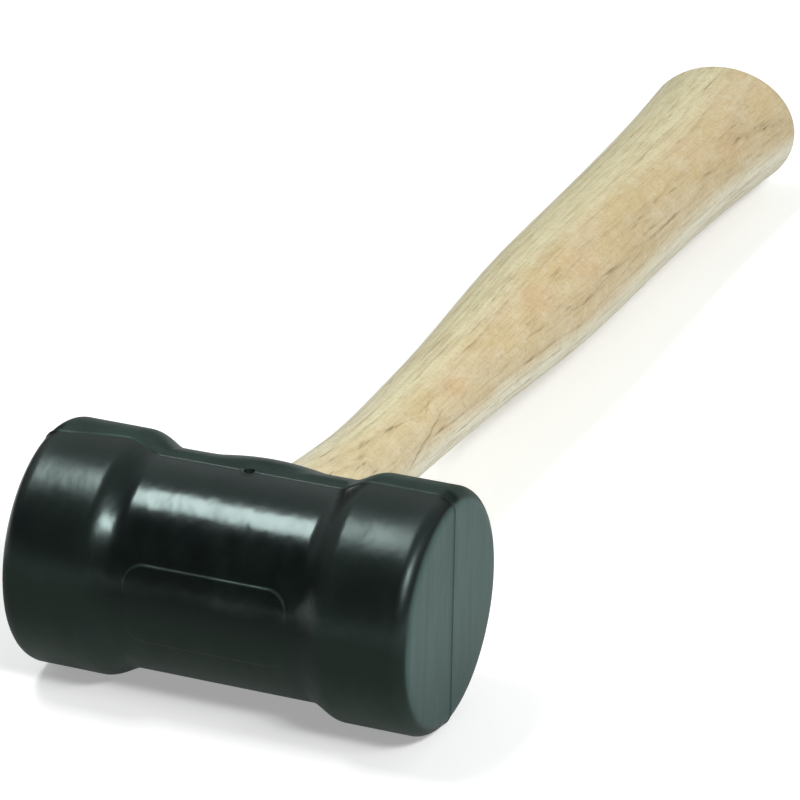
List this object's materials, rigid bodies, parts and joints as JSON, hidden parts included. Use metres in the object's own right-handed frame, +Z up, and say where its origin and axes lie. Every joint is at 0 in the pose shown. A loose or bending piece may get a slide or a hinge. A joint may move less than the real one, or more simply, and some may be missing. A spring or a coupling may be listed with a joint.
{
  "type": "rubber mallet",
  "caption": "Rubber mallet: black moulded dumbbell-shaped head with flat striking faces, on a pale wooden handle with a flared butt, held in a blind socket by a sunk nail.",
  "frame": {"origin": "on the surface the mallet lies on, under the middle of its bounding box", "axes": "+X along the head, through both striking faces; +Y from the head towards the butt of the handle; +Z up from the surface. The mallet lies at rest on its two drums and the underside of its butt, so the handle slopes down by about 2 degrees towards +Y"},
  "size_m": [0.0996, 0.3595, 0.0576],
  "materials": {
    "rubber": "black moulded rubber, satin, with flat matte striking faces",
    "wood": "pale sanded ash, unvarnished, fine straight grain",
    "nail_steel": "dull bright steel wire nail, sunk in its hole"
  },
  "bodies": {
    "root": {"rubber_head": "rubber", "wooden_handle": "wood", "retaining_nail": "nail_steel"}
  },
  "joints": []
}
